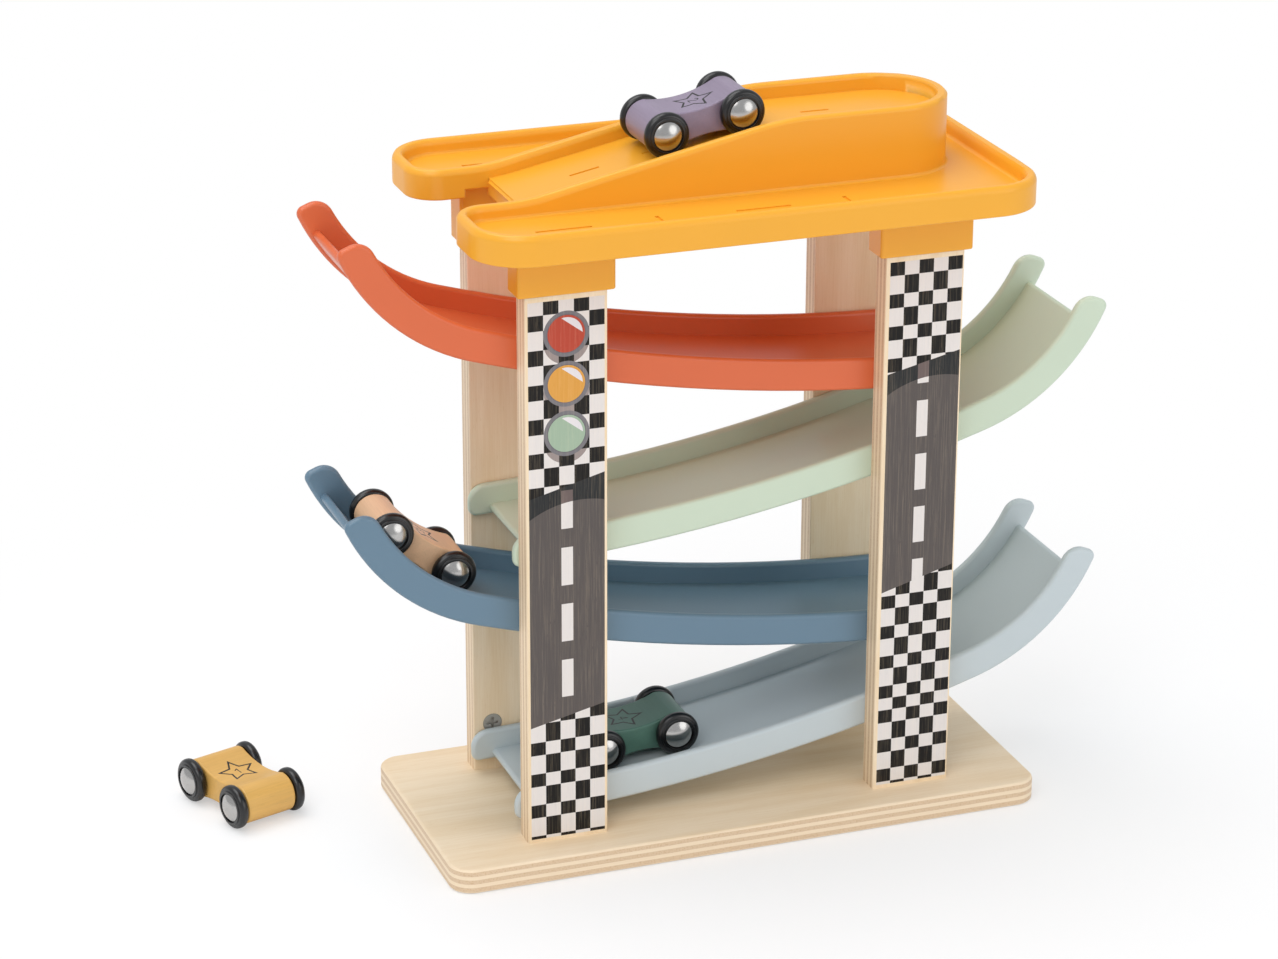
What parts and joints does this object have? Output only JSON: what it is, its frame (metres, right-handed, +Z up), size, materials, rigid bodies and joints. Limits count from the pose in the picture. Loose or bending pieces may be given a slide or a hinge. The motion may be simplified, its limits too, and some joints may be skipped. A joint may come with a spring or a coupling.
{
  "type": "click clack track toy",
  "caption": "Zigzag car track toy: curled channel tracks between plywood posts on a base board, a moulded parking deck with a ramp on top, and small wooden cars.",
  "frame": {"origin": "middle of the base board's underside, on the table", "axes": "+X along the tracks towards the right posts, +Y from the printed front posts to the back posts, +Z up"},
  "size_m": [0.393, 0.1608, 0.3257],
  "materials": {
    "ply": "birch plywood, thin clear varnish",
    "zinc_steel": "zinc-plated steel",
    "orange_plastic": "satin moulded ABS, yellow-orange",
    "coral_plastic": "satin moulded ABS, red-orange",
    "mint_plastic": "satin moulded ABS, pale sage",
    "slate_plastic": "satin moulded ABS, slate blue",
    "sky_plastic": "satin moulded ABS, pale grey-blue",
    "wheel_black": "glossy black moulded plastic",
    "cap_steel": "polished steel dome",
    "lilac_wood": "painted wood, satin lilac",
    "peach_wood": "painted wood, satin peach",
    "green_wood": "painted wood, satin green",
    "yellow_wood": "painted wood, satin yellow"
  },
  "bodies": {
    "toy": {"base_board": "ply", "front_left_post": "ply", "front_right_post": "ply", "back_left_post": "ply", "back_right_post": "ply", "base_bolts": "zinc_steel", "barrel_nuts": "zinc_steel", "top_deck": "orange_plastic", "sky_track": "sky_plastic", "slate_track": "slate_plastic", "mint_track": "mint_plastic", "orange_track": "coral_plastic"},
    "lilac_car": {"lilac_car_body": "lilac_wood"},
    "lilac_front_wheels": {"lilac_front_axle": "cap_steel", "lilac_front_left_wheel": "wheel_black", "lilac_front_right_wheel": "wheel_black", "lilac_front_caps": "cap_steel"},
    "lilac_rear_wheels": {"lilac_rear_axle": "cap_steel", "lilac_rear_left_wheel": "wheel_black", "lilac_rear_right_wheel": "wheel_black", "lilac_rear_caps": "cap_steel"},
    "peach_car": {"peach_car_body": "peach_wood"},
    "peach_front_wheels": {"peach_front_axle": "cap_steel", "peach_front_left_wheel": "wheel_black", "peach_front_right_wheel": "wheel_black", "peach_front_caps": "cap_steel"},
    "peach_rear_wheels": {"peach_rear_axle": "cap_steel", "peach_rear_left_wheel": "wheel_black", "peach_rear_right_wheel": "wheel_black", "peach_rear_caps": "cap_steel"},
    "green_car": {"green_car_body": "green_wood"},
    "green_front_wheels": {"green_front_axle": "cap_steel", "green_front_left_wheel": "wheel_black", "green_front_right_wheel": "wheel_black", "green_front_caps": "cap_steel"},
    "green_rear_wheels": {"green_rear_axle": "cap_steel", "green_rear_left_wheel": "wheel_black", "green_rear_right_wheel": "wheel_black", "green_rear_caps": "cap_steel"},
    "yellow_car": {"yellow_car_body": "yellow_wood"},
    "yellow_front_wheels": {"yellow_front_axle": "cap_steel", "yellow_front_left_wheel": "wheel_black", "yellow_front_right_wheel": "wheel_black", "yellow_front_caps": "cap_steel"},
    "yellow_rear_wheels": {"yellow_rear_axle": "cap_steel", "yellow_rear_left_wheel": "wheel_black", "yellow_rear_right_wheel": "wheel_black", "yellow_rear_caps": "cap_steel"}
  },
  "joints": [
    {"name": "lilac_roll", "type": "slide", "parent": "toy", "child": "lilac_car", "axis": [-0.9799, 0, -0.1994], "range_m": [-0.004, 0.052]},
    {"name": "lilac_front_spin", "type": "hinge", "parent": "lilac_car", "child": "lilac_front_wheels", "pos_m": [-0.02566, 0, 0.3092], "axis": [0, 1, 0], "range_deg": [-320, 40]},
    {"name": "lilac_rear_spin", "type": "hinge", "parent": "lilac_car", "child": "lilac_rear_wheels", "pos_m": [0.00766, 0, 0.31598], "axis": [0, 1, 0], "range_deg": [-320, 40]},
    {"name": "peach_roll", "type": "hinge", "parent": "toy", "child": "peach_car", "pos_m": [-0.08866, 0, 0.19599], "axis": [0, -1, 0], "range_deg": [-8, 12]},
    {"name": "peach_front_spin", "type": "hinge", "parent": "peach_car", "child": "peach_front_wheels", "pos_m": [-0.11973, 0, 0.12778], "axis": [0, 1, 0], "range_deg": [-80, 115]},
    {"name": "peach_rear_spin", "type": "hinge", "parent": "peach_car", "child": "peach_rear_wheels", "pos_m": [-0.14667, 0, 0.14853], "axis": [0, 1, 0], "range_deg": [-80, 115]},
    {"name": "green_roll", "type": "hinge", "parent": "toy", "child": "green_car", "pos_m": [-0.11775, 0, 0.81284], "axis": [0, 1, 0], "range_deg": [-9.8, 2.4]},
    {"name": "green_front_spin", "type": "hinge", "parent": "green_car", "child": "green_front_wheels", "pos_m": [-0.05291, 0, 0.03459], "axis": [0, 1, 0], "range_deg": [-210, 815]},
    {"name": "green_rear_spin", "type": "hinge", "parent": "green_car", "child": "green_rear_wheels", "pos_m": [-0.01909, 0, 0.03815], "axis": [0, 1, 0], "range_deg": [-210, 815]},
    {"name": "yellow_roll", "type": "slide", "parent": "toy", "child": "yellow_car", "axis": [0.3173, -0.9483, 0], "range_m": [-0.06, 0.06]},
    {"name": "yellow_front_spin", "type": "hinge", "parent": "yellow_car", "child": "yellow_front_wheels", "pos_m": [-0.19211, 0.04038, 0.00975], "axis": [-0.9483, -0.3173, 0], "range_deg": [-360, 360]},
    {"name": "yellow_rear_spin", "type": "hinge", "parent": "yellow_car", "child": "yellow_rear_wheels", "pos_m": [-0.20289, 0.07262, 0.00975], "axis": [-0.9483, -0.3173, 0], "range_deg": [-360, 360]}
  ],
  "couplings": [
    {"joint": "lilac_front_spin", "follows": "lilac_roll", "rad_per_m": -102.56},
    {"joint": "lilac_rear_spin", "follows": "lilac_roll", "rad_per_m": -102.56},
    {"joint": "peach_front_spin", "follows": "peach_roll", "ratio": 8.6872},
    {"joint": "peach_rear_spin", "follows": "peach_roll", "ratio": 8.6872},
    {"joint": "green_front_spin", "follows": "green_roll", "ratio": -81.097},
    {"joint": "green_rear_spin", "follows": "green_roll", "ratio": -81.097},
    {"joint": "yellow_front_spin", "follows": "yellow_roll", "rad_per_m": -102.56},
    {"joint": "yellow_rear_spin", "follows": "yellow_roll", "rad_per_m": -102.56}
  ]
}
